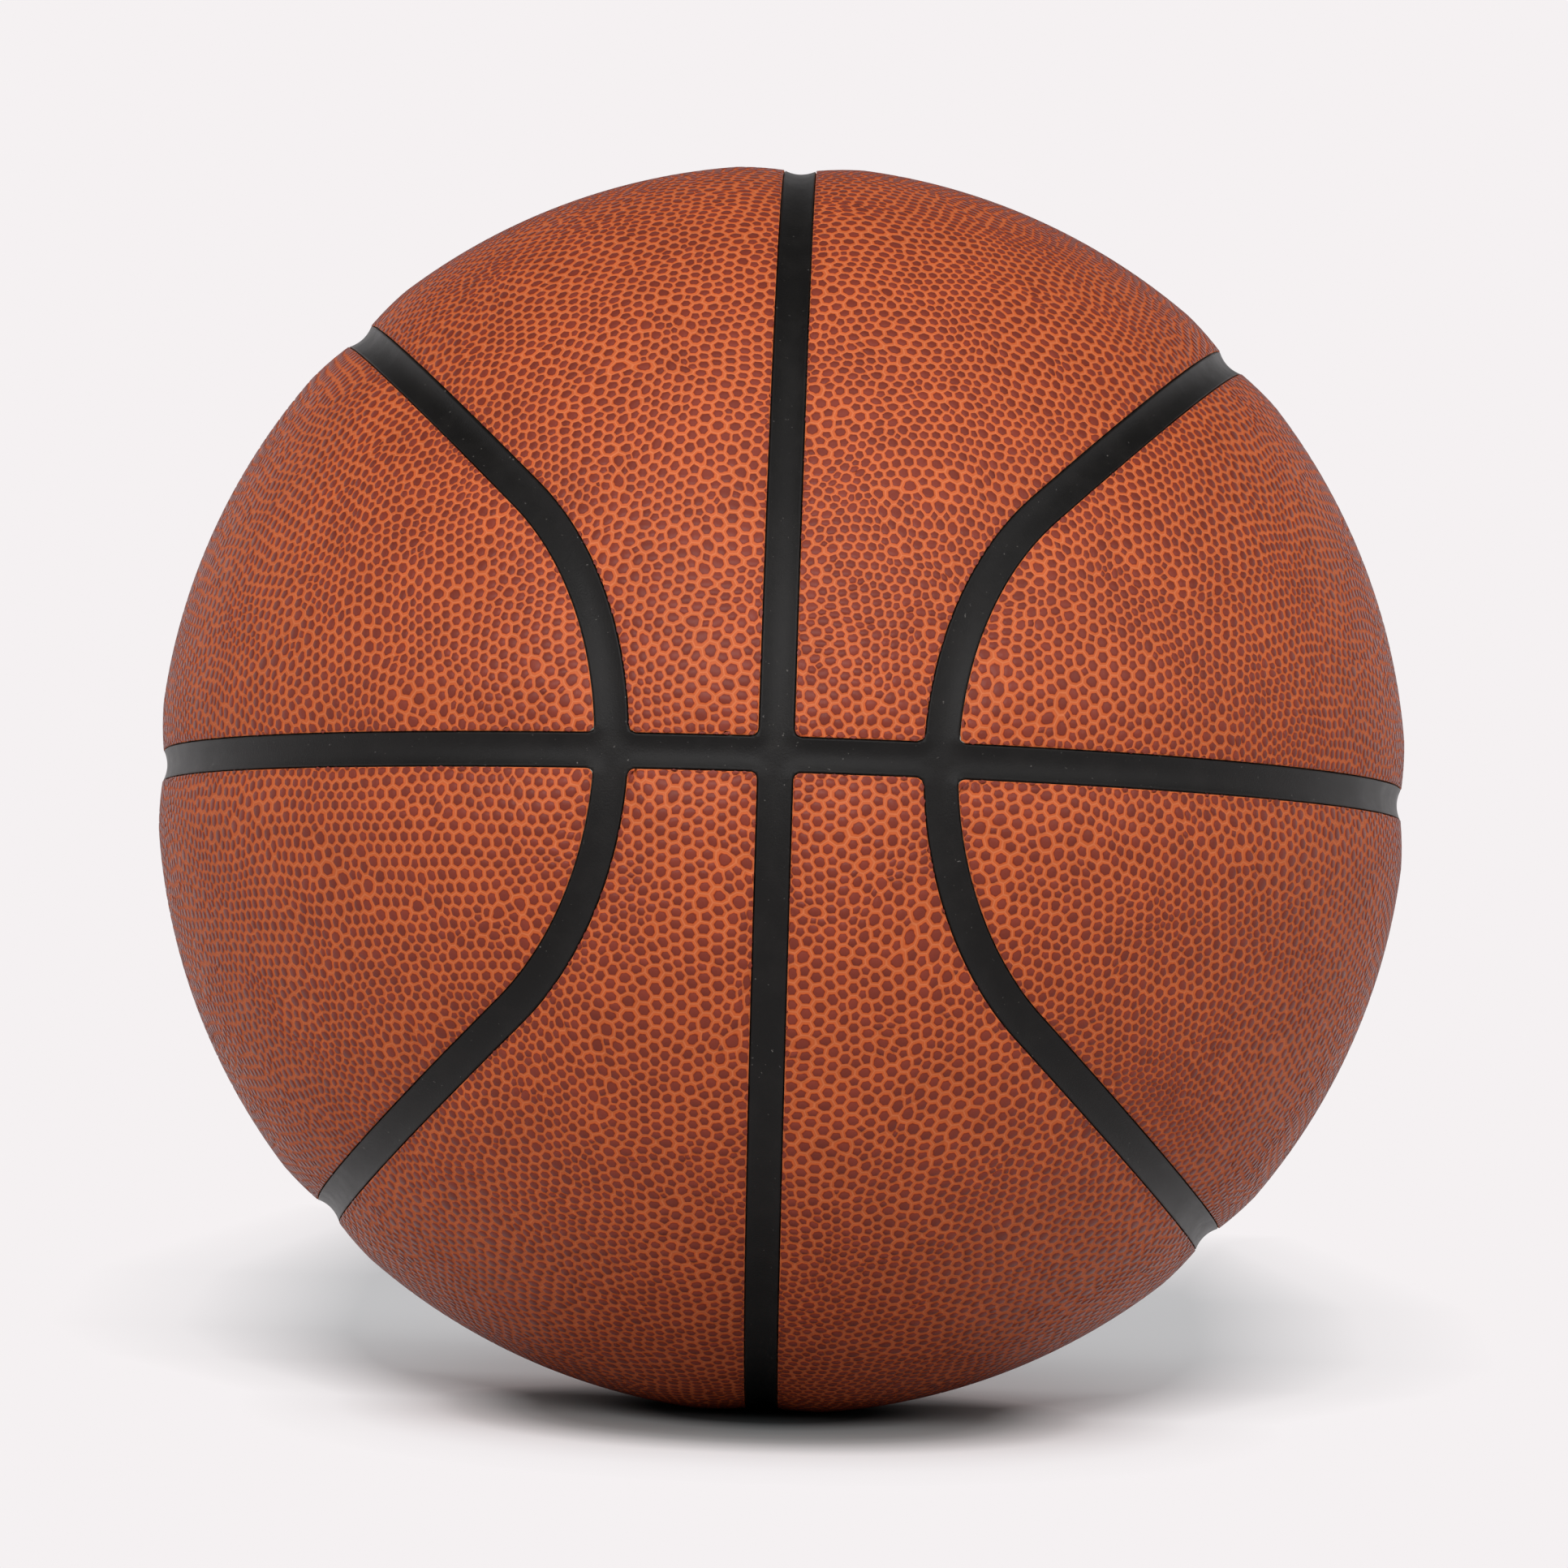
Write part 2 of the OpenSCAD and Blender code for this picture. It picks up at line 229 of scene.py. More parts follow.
class BallStudio(bpy.types.PropertyGroup):
    """The camera, which follows the photograph, and the studio"""

    distance: plain("Distance", "From the ball's centre to the camera, in radii", 8)
    image: plain("Image width", "Width of the photograph, in pixels", 1932)
    radius_px: plain("Radius", "Radius of the ball's outline, in pixels", 769.6)
    centre_x_px: plain("Centre X", "The ball's centre in the photograph, in pixels", 963.4)
    centre_y_px: plain("Centre Y", "The ball's centre in the photograph, in pixels", 972.6)
    roll: angle("Roll", "Turn of the ball in the picture's plane", -1.82)
    pitch: angle("Pitch", "Tip of the ball towards the camera", -2.87)
    yaw: angle("Yaw", "Turn of the ball about its upright axis", -0.58)
    backdrop: colour("Backdrop", "Floor and background", (0.913, 0.879, 0.888))
    shadow_colour: colour("Lit floor", "Floor under and near the ball", (0.93, 0.96, 0.975))
    # The contact radius sizes the painted shadow in the floor's colour
    contact: length("Contact", "Radius of the darkest part of the shadow", 0.06)
    stretch: plain("Stretch", "Reach of the shadow to the sides against the front", 0.6)
    shadow_width: length("Shadow width", "Half width of the shadow where the ball stands", 0.068)
    haze_width: length("Haze width", "Half width of the shadow's haze behind the ball", 0.135)
    ambient: plain("Ambient", "Strength of the world's light", 0.22)
    front: plain("Front light", "Share of a white surface's brightness", 0.64)
    side: plain("Side light", "Share of a white surface's brightness", 0.18)
    top: plain("Top light", "Share of a white surface's brightness", 0.24)


class Pattern:
    """Where the channels run. Points are unit vectors in rows, and distances are in metres
    along the ball's surface. The horizontal and the vertical channel are great circles. Half a
    loop has its long side on a tilted great circle, and an arc about end_axis at either end."""

    def __init__(self, channels, cover):
        self.half = channels.half
        self.corner = cover.corner
        self.tilt = channels.tilt
        sin_tilt, cos_tilt = math.sin(self.tilt), math.cos(self.tilt)
        sin_cross, cos_cross = math.sin(channels.crossing), math.cos(channels.crossing)
        self.end = math.atan(sin_tilt * sin_cross / (1 - sin_tilt * cos_cross))
        self.offset = channels.crossing + self.end
        self.start = math.acos(math.cos(self.offset) / math.cos(self.end))
        self.half_turn = math.acos(math.tan(self.end) / math.tan(self.offset))
        self.end_axis = np.array([math.sin(self.offset), math.cos(self.offset), 0])
        tangent = np.array([
            math.sin(self.start) * cos_tilt,
            math.cos(self.start),
            math.sin(self.start) * sin_tilt,
        ])
        self.split = np.cross(self.end_axis, tangent)

    def past_panel(self, points, middle, x_sign, z_sign):
        """How far each point lies past the edge of a panel: negative inside the panel."""
        folded = np.stack([points[:, 0] * x_sign, np.abs(points[:, 1]), points[:, 2] * z_sign])
        side = folded[0] * math.sin(self.tilt) - folded[2] * math.cos(self.tilt)
        end = np.sin(self.end - np.arccos(np.clip(self.end_axis @ folded, -1, 1)))
        loop = np.where(self.split @ folded > 0, side, end) * BALL_R
        past = [self.half - folded[2] * BALL_R]
        if middle:
            past += [self.half - folded[0] * BALL_R, self.half + loop]
        else:
            past += [self.half - loop]
        corner = np.stack(past) + self.corner
        return (
            np.linalg.norm(np.maximum(corner, 0), axis=0)
            + np.minimum(corner.max(axis=0), 0)
            - self.corner
        )

    def past_panels(self, points):
        """How far each point lies from the nearest panel, in a channel."""
        folded = np.abs(points)
        middle = self.past_panel(folded, True, 1, 1)
        side = self.past_panel(folded, False, 1, 1)
        return np.minimum(middle, side)


def past_valve(points):
    """How far each point lies inside the valve's hole."""
    return VALVE_HOLE_R - np.arccos(np.clip(points @ VALVE_AXIS, -1, 1)) * BALL_R


def places(vertices):
    """The places of a bmesh's vertices, in rows."""
    return np.fromiter((c for v in vertices for c in v.co), float).reshape(-1, 3)


def units(points):
    """The same points on the unit sphere."""
    return points / np.linalg.norm(points, axis=1)[:, None]


def put(mesh, points):
    """Moves a bmesh's vertices to these places."""
    for vertex, point in zip(mesh.verts, points):
        vertex.co = point


def split_along(mesh, past, longest):
    """Splits a bmesh's faces where a distance, a function of unit vectors, is zero. No edge
    there is longer than longest."""
    distance = past(units(places(mesh.verts)))
    near = {v: far for v, far in zip(mesh.verts, distance.tolist()) if abs(far) < longest}
    cuts = {}
    for vertex, far in near.items():
        for edge in vertex.link_edges:
            other = near.get(edge.other_vert(vertex))
            if far > 0 and other is not None and other <= 0:
                part = far / (far - other)
                cuts[edge] = part if edge.verts[0] is vertex else 1 - part
    made = bmesh.ops.bisect_edges(mesh, edges=list(cuts), cuts=1, edge_percents=cuts)
    new = [g for g in made["geom_split"] if isinstance(g, bmesh.types.BMVert)]
    bmesh.ops.connect_verts(mesh, verts=new)


def keep_inside(mesh, past):
    """Deletes the faces whose middle lies past the edge."""
    middles = np.array([f.calc_center_median()[:] for f in mesh.faces])
    out = [f for f, far in zip(mesh.faces[:], past(units(middles)).tolist()) if far > 0]
    bmesh.ops.delete(mesh, geom=out, context="FACES")


def finished(mesh, name, material, replaced):
    """Turns a bmesh into the object of a piece that rides on the ball."""
    for face in mesh.faces:
        face.smooth = True
    data = bpy.data.meshes.new(name)
    mesh.to_mesh(data)
    mesh.free()
    data.materials.append(material)
    piece = bpy.data.objects.new(name, data)
    bpy.context.scene.collection.objects.link(piece)
    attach(piece, "root")
    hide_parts(replaced)
    return piece


def pebble_pitch(cover):
    """The distance between the middles of two pebbles, on the unit sphere."""
    count = 10 * 4 ** (cover.fineness - 1) + 2
    return math.sqrt(8 * math.pi / (math.sqrt(3) * count))


def cells(cover, past, rng):
    """A bmesh on the unit sphere with one face for each pebble's cell, over one panel. An even
    net of triangles is turned, shaken, crossed here and there and smoothed: each of its points
    becomes a cell."""
    pitch = pebble_pitch(cover)
    margin = 2.5 * pitch * BALL_R
    mesh = bmesh.new()
    mesh.verts.layers.float.new("rise")
    mesh.verts.layers.float.new("tone")
    mesh.faces.layers.int.new("crown")
    bmesh.ops.create_icosphere(mesh, subdivisions=cover.fineness, radius=1)
    turn = Euler(rng.uniform(0, 2 * math.pi, 3).tolist()).to_matrix()
    bmesh.ops.rotate(mesh, matrix=turn, verts=mesh.verts[:])
    distance = past(units(places(mesh.verts))).tolist()
    away = [v for v, far in zip(mesh.verts, distance) if far > margin]
    bmesh.ops.delete(mesh, geom=away, context="VERTS")
    shake = rng.normal(scale=cover.spread * pitch, size=(len(mesh.verts), 3))
    corner = Vector(rng.uniform(0, 100, 3).tolist())
    noise.seed_set(cover.seed)
    wander = np.array([
        noise.noise_vector(v.co * (BALL_R / cover.swirl_size) + corner)[:] for v in mesh.verts
    ])
    put(mesh, units(places(mesh.verts) + shake + wander * (cover.swirl / BALL_R)))
    crossed = [
        e for e, dice in zip(mesh.edges, rng.random(len(mesh.edges)).tolist())
        if dice < cover.crossed and len(e.link_faces) == 2
    ]
    bmesh.ops.rotate_edges(mesh, edges=crossed, use_ccw=False)
    inner = [v for v in mesh.verts if not v.is_boundary]
    for _ in range(cover.smoothing):
        bmesh.ops.smooth_vert(
            mesh, verts=inner, factor=0.5, use_axis_x=True, use_axis_y=True, use_axis_z=True
        )
    put(mesh, units(places(mesh.verts)))
    middles = mesh.verts[:]
    sides = [e for e in mesh.edges if len(e.link_faces) == 2]
    bmesh.ops.poke(mesh, faces=mesh.faces[:])
    put(mesh, units(places(mesh.verts)))
    bmesh.ops.rotate_edges(mesh, edges=sides, use_ccw=False)
    rim = [v for v in middles if v.is_boundary]
    core = [v for v in middles if not v.is_boundary]
    bmesh.ops.delete(mesh, geom=rim, context="VERTS")
    bmesh.ops.dissolve_verts(mesh, verts=core)
    bare = [e for e in mesh.edges if e.is_wire]
    bmesh.ops.delete(mesh, geom=bare, context="EDGES")
    return mesh


def outwards(points, past):
    """The way out of a panel at each point, as unit vectors along the surface."""
    nudge = 0.0001
    here = past(points)
    slope = np.stack(
        [past(units(points + nudge * np.eye(3)[axis])) - here for axis in range(3)], axis=1
    )
    return units(slope - points * (slope * points).sum(axis=1)[:, None])


def trim(mesh, cover, past):
    """Cuts the net of cells off along a panel's edge, and brings the new rim onto it in a few
    rounds."""
    split_along(mesh, past, 2 * pebble_pitch(cover) * BALL_R)
    keep_inside(mesh, past)
    edge = [e for e in mesh.edges if e.is_boundary]
    bmesh.ops.bisect_edges(mesh, edges=edge, cuts=2)
    rim = [v for v in mesh.verts if v.is_boundary]
    for _ in range(3):
        points = units(places(rim))
        moved = points - outwards(points, past) * (past(points) / BALL_R)[:, None]
        for vertex, point in zip(rim, units(moved).tolist()):
            vertex.co = point


def add_body(mesh):
    """Gives a panel's cells walls, square on the carcass, and an inner side with few faces.
    Returns the cells and their outer edges."""
    made = bmesh.ops.extrude_face_region(mesh, geom=mesh.faces[:], use_keep_orig=True)
    inner = {g for g in made["geom"] if isinstance(g, bmesh.types.BMFace)}
    for vertex in {v for f in inner for v in f.verts}:
        vertex.co = vertex.co.normalized() * (COVER_IN_R / BALL_R)
    seams = [e for e in mesh.edges if inner.issuperset(e.link_faces)]
    loose = [v for v in mesh.verts if inner.issuperset(v.link_faces)]
    bmesh.ops.dissolve_limit(
        mesh, angle_limit=math.radians(8), use_dissolve_boundaries=False,
        edges=seams, verts=loose, delimit=set(),
    )
    tops = [f for f in mesh.faces if min(v.co.length for v in f.verts) > MIDWAY]
    known = set(tops)
    edge = [e for f in tops for e in f.edges if not known.issuperset(e.link_faces)]
    return tops, edge


def raise_pebbles(mesh, tops, cover, rng):
    """Insets a pebble's top in each cell and rounds it. The vertex layer rise is 1 on a top and
    0 in a valley, and tone is a pebble's own random number on its top."""
    rise = mesh.verts.layers.float["rise"]
    tone = mesh.verts.layers.float["tone"]
    crown = mesh.faces.layers.int["crown"]
    pitch = pebble_pitch(cover)
    usual = USUAL_REACH * pitch
    bmesh.ops.inset_individual(mesh, faces=tops, thickness=TOP_INSET * pitch)
    for face in tops:
        face[crown] = 1
        around = [v.link_edges for v in face.verts]
        middle = face.calc_center_median()
        outer = [
            next(e.other_vert(v) for e in edges if face not in e.link_faces)
            for v, edges in zip(face.verts, around)
        ]
        reach = sum((v.co - middle).length for v in outer) / len(outer)
        wide = cover.top * (1 + TOP_SPREAD * float(rng.normal()))
        size = min(wide * (usual / reach) ** TOP_EVENING, TOP_LARGEST)
        for vertex, corner in zip(face.verts, outer):
            vertex.co = middle + (corner.co - middle) * size
    bmesh.ops.bisect_edges(mesh, edges=[e for f in tops for e in f.edges], cuts=1)
    for face in mesh.faces:
        if not face[crown]:
            continue
        middle = face.calc_center_median()
        arms = [v.co - middle for v in face.verts]
        mean = sum(a.length for a in arms) / len(arms)
        own = float(rng.uniform())
        for vertex, arm in zip(face.verts, arms):
            vertex.co = middle + arm * (1 - cover.round + cover.round * mean / arm.length)
            vertex[rise] = 1
            vertex[tone] = own
    mesh.faces.layers.int.remove(crown)


def shape_panel(mesh, cover, past):
    """Puts a panel's vertices at their height: pebbles over valleys, on a crowned surface that
    rolls down to the channels. Vertices well under the unit sphere make the inner side."""
    layer = mesh.verts.layers.float["rise"]
    flat = places(mesh.verts)
    points = units(flat)
    inside = -past(points)
    rise = np.array([v[layer] for v in mesh.verts])
    across = np.clip(inside / cover.edge_roll, 0, 1)
    bulge = cover.edge_roll ** 2 / 2 * (1 / cover.edge_arc - 1 / BALL_R)
    drop = (1 - across) * (cover.edge_drop - bulge * across)
    radius = BALL_R - TOP_ROOM - drop - cover.relief * (1 - rise)
    below = np.linalg.norm(flat, axis=1) < MIDWAY
    put(mesh, points * np.where(below, COVER_IN_R, radius)[:, None])


def panel_map(mesh, middle, x_sign, z_sign):
    """Gives a panel its own flat map: its front and back halves, one above the other."""
    chart = mesh.loops.layers.uv.new("OFBake")
    widest, longest, margin = math.radians(47), math.radians(96), math.radians(3)
    x, y, z = (units(places(mesh.verts)) * (x_sign, 1, z_sign)).T
    across, upright = (x, z) if middle else (z, x)
    high = np.arcsin(across) / widest / 2
    front = np.stack([(np.arctan2(-y, upright) + margin) / longest, high], axis=1).tolist()
    back = np.stack([(np.arctan2(y, upright) + margin) / longest, high + 0.5], axis=1).tolist()
    mesh.verts.index_update()
    for face in mesh.faces:
        flat = back if face.calc_center_median().y > 0 else front
        for loop in face.loops:
            loop[chart].uv = flat[loop.vert.index]


def cover_panel(pattern, cover, material, panel, number):
    """Builds one pebbled cover panel."""
    name, middle, x_sign, z_sign = panel

    def past(points):
        far = pattern.past_panel(points, middle, x_sign, z_sign)
        return np.maximum(far, past_valve(points)) if name == VALVE_PANEL else far

    rng = np.random.default_rng(cover.seed + number)
    mesh = cells(cover, past, rng)
    trim(mesh, cover, past)
    tops, edge = add_body(mesh)
    for side in edge:
        side.smooth = False
    raise_pebbles(mesh, tops, cover, rng)
    shape_panel(mesh, cover, past)
    panel_map(mesh, middle, x_sign, z_sign)
    bmesh.ops.recalc_face_normals(mesh, faces=mesh.faces[:])
    return finished(mesh, name.replace("cover", "pebbled"), material, name)


def section(mesh, towards, across, reach):
    """A row of edges across a channel, on the unit sphere: towards is its middle."""
    made = bmesh.ops.create_grid(mesh, x_segments=6, y_segments=1, size=1)
    spare = [v for v in made["verts"] if v.co.y > 0]
    bmesh.ops.delete(mesh, geom=spare, context="VERTS")
    for vertex in mesh.verts:
        turn = vertex.co.x * reach / BALL_R
        vertex.co = towards * math.cos(turn) + across * math.sin(turn)
    return mesh.verts[:] + mesh.edges[:]


def sweep(mesh, row, axis, turn, channels):
    """Spins the last row of a channel about an axis through the ball's centre, in the coarse
    steps that channel_strip cuts."""
    steps = max(FEWEST_STEPS, int(abs(turn) * BALL_R / channels.step / (BED_CUTS + 1)))
    all_round = abs(turn) > math.radians(350)
    made = bmesh.ops.spin(
        mesh, geom=row, cent=(0, 0, 0), axis=axis, angle=turn, steps=steps,
        use_merge=all_round, use_duplicate=False,
    )
    return made["geom_last"]


def horizontal_path(mesh, pattern, channels, reach):
    """The horizontal channel: all round the ball."""
    row = section(mesh, Vector((0, -1, 0)), Vector((0, 0, 1)), reach)
    sweep(mesh, row, (0, 0, 1), 2 * math.pi, channels)


def vertical_path(mesh, pattern, channels, reach):
    """The upper half of the vertical channel."""
    row = section(mesh, Vector((0, -1, 0)), Vector((1, 0, 0)), reach)
    sweep(mesh, row, (1, 0, 0), -math.pi, channels)


def loop_path(mesh, pattern, channels, reach):
    """The upper half of the right loop."""
    crossing = channels.crossing
    towards = Vector((math.sin(crossing), -math.cos(crossing), 0))
    across = Vector((math.cos(crossing), math.sin(crossing), 0))
    front = Vector((pattern.end_axis[0], -pattern.end_axis[1], 0))
    back = Vector((pattern.end_axis[0], pattern.end_axis[1], 0))
    level = Vector((math.sin(pattern.tilt), 0, -math.cos(pattern.tilt)))
    row = section(mesh, towards, across, reach)
    row = sweep(mesh, row, front, -pattern.half_turn, channels)
    row = sweep(mesh, row, level, 2 * pattern.start - math.pi, channels)
    sweep(mesh, row, back, -pattern.half_turn, channels)


def channel_strip(pattern, channels, cover, material, node, path, x_sign=1, z_sign=1):
    """Builds one strip of channel rubber: a bed swept along its path and cut to the panels'
    edges, with walls down to the carcass."""
    mesh = bmesh.new()
    reach = channels.half + cover.corner
    path(mesh, pattern, channels, reach)
    bmesh.ops.transform(mesh, matrix=Matrix.Diagonal((x_sign, 1, z_sign, 1)), verts=mesh.verts[:])
    if path is not horizontal_path:
        bmesh.ops.bisect_plane(
            mesh, geom=mesh.verts[:] + mesh.edges[:] + mesh.faces[:], clear_inner=True,
            plane_co=(0, 0, z_sign * reach / BALL_R), plane_no=(0, 0, z_sign), dist=1e-7,
        )
    bmesh.ops.subdivide_edges(mesh, edges=mesh.edges[:], cuts=BED_CUTS, use_grid_fill=True)
    for inset in (-channels.lip, channels.gap):
        split_along(mesh, lambda points: inset - pattern.past_panels(points), 3 * channels.step)
    keep_inside(mesh, lambda points: -channels.lip - pattern.past_panels(points))
    points = units(places(mesh.verts))
    far = pattern.past_panels(points)
    across = np.clip(far / channels.half, 0, 1)
    bed = BALL_R - channels.depth + channels.rise * (1 - across) ** 2
    groove = np.clip(1 - far / channels.gap, 0, 1)
    radius = bed + (BALL_R - channels.depth - bed) * groove
    put(mesh, points * radius[:, None])
    bmesh.ops.recalc_face_normals(mesh, faces=mesh.faces[:])
    if mesh.faces[0].normal.dot(mesh.faces[0].calc_center_median()) < 0:
        bmesh.ops.reverse_faces(mesh, faces=mesh.faces[:])
    rim = [e for e in mesh.edges if e.is_boundary]
    made = bmesh.ops.extrude_face_region(mesh, geom=mesh.faces[:], use_keep_orig=True)
    for side in rim:
        side.smooth = False
    low = [g for g in made["geom"] if isinstance(g, bmesh.types.BMVert)]
    for vertex in low:
        vertex.co = vertex.co.normalized() * (CARCASS_R + CEMENT)
    bmesh.ops.recalc_face_normals(mesh, faces=mesh.faces[:])
    return finished(mesh, node.replace("channel", "rubber"), material, node)


class Wire:
    """A shader socket on which Python's arithmetic adds Math nodes."""

    def __init__(self, paint, socket):
        self.paint = paint
        self.socket = socket

    def math(self, operation, *values):
        node = self.paint.add(
            "ShaderNodeMath", {"operation": operation}, dict(enumerate(values))
        )
        return self.paint.wire(node)

    def __add__(self, other):
        return self.math("ADD", self, other)

    def __radd__(self, other):
        return self.math("ADD", other, self)

    def __sub__(self, other):
        return self.math("SUBTRACT", self, other)

    def __rsub__(self, other):
        return self.math("SUBTRACT", other, self)

    def __mul__(self, other):
        return self.math("MULTIPLY", self, other)

    def __rmul__(self, other):
        return self.math("MULTIPLY", other, self)

    def __truediv__(self, other):
        return self.math("DIVIDE", self, other)

    def __rtruediv__(self, other):
        return self.math("DIVIDE", other, self)

    def __pow__(self, other):
        return self.math("POWER", self, other)

    def __rpow__(self, other):
        return self.math("POWER", other, self)

    def smaller(self, other):
        return self.math("MINIMUM", self, other)

    def larger(self, other):
        return self.math("MAXIMUM", self, other)


class Paint:
    """A material's nodes, or the world's."""

    def __init__(self, name, world=False):
        kind = bpy.data.worlds if world else bpy.data.materials
        self.material = kind.new(name)
        self.material.use_nodes = True
        self.tree = self.material.node_tree
        self.tree.nodes.clear()

    def add(self, kind, settings=None, sockets=None):
        """Adds a node: its settings first, then the values or links of its sockets."""
        node = self.tree.nodes.new(kind)
        for key, value in (settings or {}).items():
            if key == "stops":
                set_stops(node.color_ramp, value)
            else:
                setattr(node, key, value)
        for key, value in (sockets or {}).items():
            if isinstance(value, Wire):
                self.tree.links.new(value.socket, node.inputs[key])
            else:
                node.inputs[key].default_value = value
        return node

    def wire(self, node, output=0):
        return Wire(self, node.outputs[output])

    def attribute(self, name):
        return self.wire(self.add("ShaderNodeAttribute", {"attribute_name": name}), "Fac")

    def noise(self, scale, detail=2, roughness=0.5):
        place = self.wire(self.add("ShaderNodeTexCoord"), "Object")
        return self.wire(self.add(
            "ShaderNodeTexNoise", {},
            {"Vector": place, "Scale": scale, "Detail": detail, "Roughness": roughness},
        ))

    def mix(self, factor, first, second):
        node = self.add(
            "ShaderNodeMix", {"data_type": "RGBA"}, {0: factor, 6: first, 7: second}
        )
        return self.wire(node, 2)

    def blend(self, factor, first, second):
        """Mixes two shaders."""
        return self.wire(self.add("ShaderNodeMixShader", {}, {0: factor, 1: first, 2: second}))

    def ramp(self, value, stops):
        """Turns a value into a colour, with stops as (place, colour)."""
        return self.wire(self.add("ShaderNodeValToRGB", {"stops": stops}, {0: value}))

    def curve(self, value, stops):
        """Turns a value into another one, with stops as (place, value)."""
        return self.ramp(value, [(place, (level,) * 3) for place, level in stops])

    def bump(self, height, strength, distance):
        return self.wire(self.add(
            "ShaderNodeBump", {}, {"Height": height, "Strength": strength, "Distance": distance}
        ))

    def finish(self, **sockets):
        """Ends in a Principled shader with these sockets."""
        names = {
            key.replace("_", " ").title().replace("Ior", "IOR"): value
            for key, value in sockets.items()
        }
        shader = self.wire(self.add("ShaderNodeBsdfPrincipled", {}, names))
        self.add("ShaderNodeOutputMaterial", {}, {"Surface": shader})
        return self.material


def set_stops(ramp, stops):
    """Gives a colour ramp its stops, as (place, colour)."""
    while len(ramp.elements) < len(stops):
        ramp.elements.new(1)
    for element, (place, tint) in zip(ramp.elements, stops):
        element.position = place
        element.color = opaque(tint)


def opaque(tint, scale=1):
    """A colour with an alpha of 1."""
    return tuple(scale * c for c in tint) + (1,)


def pebbled_leather(tints):
    """Synthetic leather: dark red-brown pebbles on orange. The pebbles are smoother than the
    valleys, and each has its own tone. The colour also holds painted light: a lighter middle in
    each valley, and painted shade on the pebbles' flanks and shoulders."""
    paint = Paint("pebbled_leather")
    rise = paint.attribute("rise")
    tone = paint.attribute("tone")
    uneven = (paint.noise(2600) - 0.5) * 0.12
    # Painted highlight down the valleys' middles, painted shade on the flanks and at the shoulders
    base = paint.ramp(rise + uneven, [
        (0.06, tints.lit_web_line),
        (0.24, tints.web),
        (0.56, tints.web),
        (0.72, tints.flank),
        (0.86, tints.rim),
        (0.97, tints.pebble),
    ])
    light = paint.noise(60) * 0.14 + tone * 0.26 + 0.8
    shade = paint.wire(paint.add(
        "ShaderNodeVectorMath", {"operation": "SCALE"}, {0: base, "Scale": light}
    ))
    grain = paint.noise(5200, 3, 0.6)
    normal = paint.bump(grain, 0.25, 0.00006)
    rough = 0.57 - rise * 0.28 + paint.noise(900) * 0.08
    return paint.finish(
        base_color=shade, roughness=rough, normal=normal, specular_ior_level=0.16
    )


def channel_rubber(tints):
    """Matte black moulded rubber with a little dust."""
    paint = Paint("channel_rubber")
    haze = paint.noise(170, 4, 0.6)
    dust = paint.curve(paint.noise(1500), [(0.72, 0), (0.80, 1)])
    veil = paint.curve(haze, [(0.45, 0), (0.9, 1)])
    dulled = paint.mix(veil, opaque(tints.channel), opaque(tints.channel, 2.2))
    base = paint.mix(dust, dulled, opaque(tints.dust))
    grain = paint.noise(3000, 4, 0.7)
    normal = paint.bump(grain, 0.7, 0.0001)
    rough = 0.26 + haze * 0.24
    return paint.finish(base_color=base, roughness=rough, normal=normal, specular_ior_level=0.16)


def plain_rubber(name, tint, grain_scale, roughness):
    """Rubber of the valve, the bladder and the carcass."""
    paint = Paint(name)
    cloud = paint.noise(120, 3)
    base = paint.mix(cloud, opaque(tint), opaque(tint, 1.6))
    normal = paint.bump(paint.noise(grain_scale, 3), 0.3, 0.00008)
    return paint.finish(base_color=base, roughness=roughness + cloud * 0.15, normal=normal)


def thread_winding():
    """Nylon thread, wound over the bladder in crossing turns."""
    paint = Paint("thread_winding")
    place = paint.wire(paint.add("ShaderNodeTexCoord"), "Object")
    strands = None
    for turn in ((0.3, 0.9, 0.1), (1.2, 0.2, 0.8), (0.7, 1.4, 2.1)):
        turned = paint.wire(paint.add(
            "ShaderNodeMapping", {}, {"Vector": place, "Rotation": turn}
        ))
        wave = paint.wire(paint.add(
            "ShaderNodeTexWave", {},
            {"Vector": turned, "Scale": 420, "Distortion": 1.5, "Detail": 1},
        ), "Fac")
        strands = wave if strands is None else strands.larger(wave)
    base = paint.mix(strands, (0.38, 0.35, 0.28, 1), (0.80, 0.77, 0.68, 1))
    normal = paint.bump(strands, 0.6, 0.0002)
    return paint.finish(base_color=base, roughness=0.55, normal=normal)


def soft_foam():
    """Fine-celled foam sheet."""
    paint = Paint("soft_foam")
    pores = paint.noise(2200, 3, 0.7)
    base = paint.mix(pores, (0.52, 0.49, 0.42, 1), (0.74, 0.71, 0.63, 1))
    return paint.finish(base_color=base, roughness=0.9, normal=paint.bump(pores, 0.5, 0.0002))


def dress(nodes, material):
    """Gives CAD nodes a material."""
    for name in nodes:
        slots = frame["nodes"][name].data.materials
        slots.clear()
        slots.append(material)


class BALL_OT_inner_layers(bpy.types.Operator):
    """Finish the layers under the covers: bladder, winding, carcass and foam"""

    bl_idname = "ball.inner_layers"
    bl_label = "Inner layers"

    def execute(self, context):
        dress(["bladder"], plain_rubber("bladder_rubber", (0.03, 0.028, 0.027), 900, 0.5))
        dress(["carcass"], plain_rubber("carcass_rubber", (0.022, 0.022, 0.023), 1600, 0.65))
        dress(["winding"], thread_winding())
        foam = soft_foam()
        dress([n for n in frame["nodes"] if n.startswith("backing")], foam)
        return {"FINISHED"}


class BALL_OT_valve(bpy.types.Operator):
    """Finish the air valve: the soft rubber housing and its plug"""

    bl_idname = "ball.valve"
    bl_label = "Valve"

    def execute(self, context):
        dress(["valve_housing"], plain_rubber("housing_rubber", (0.020, 0.020, 0.021), 1800, 0.5))
        dress(["valve_plug"], plain_rubber("plug_rubber", (0.014, 0.014, 0.015), 1800, 0.45))
        return {"FINISHED"}


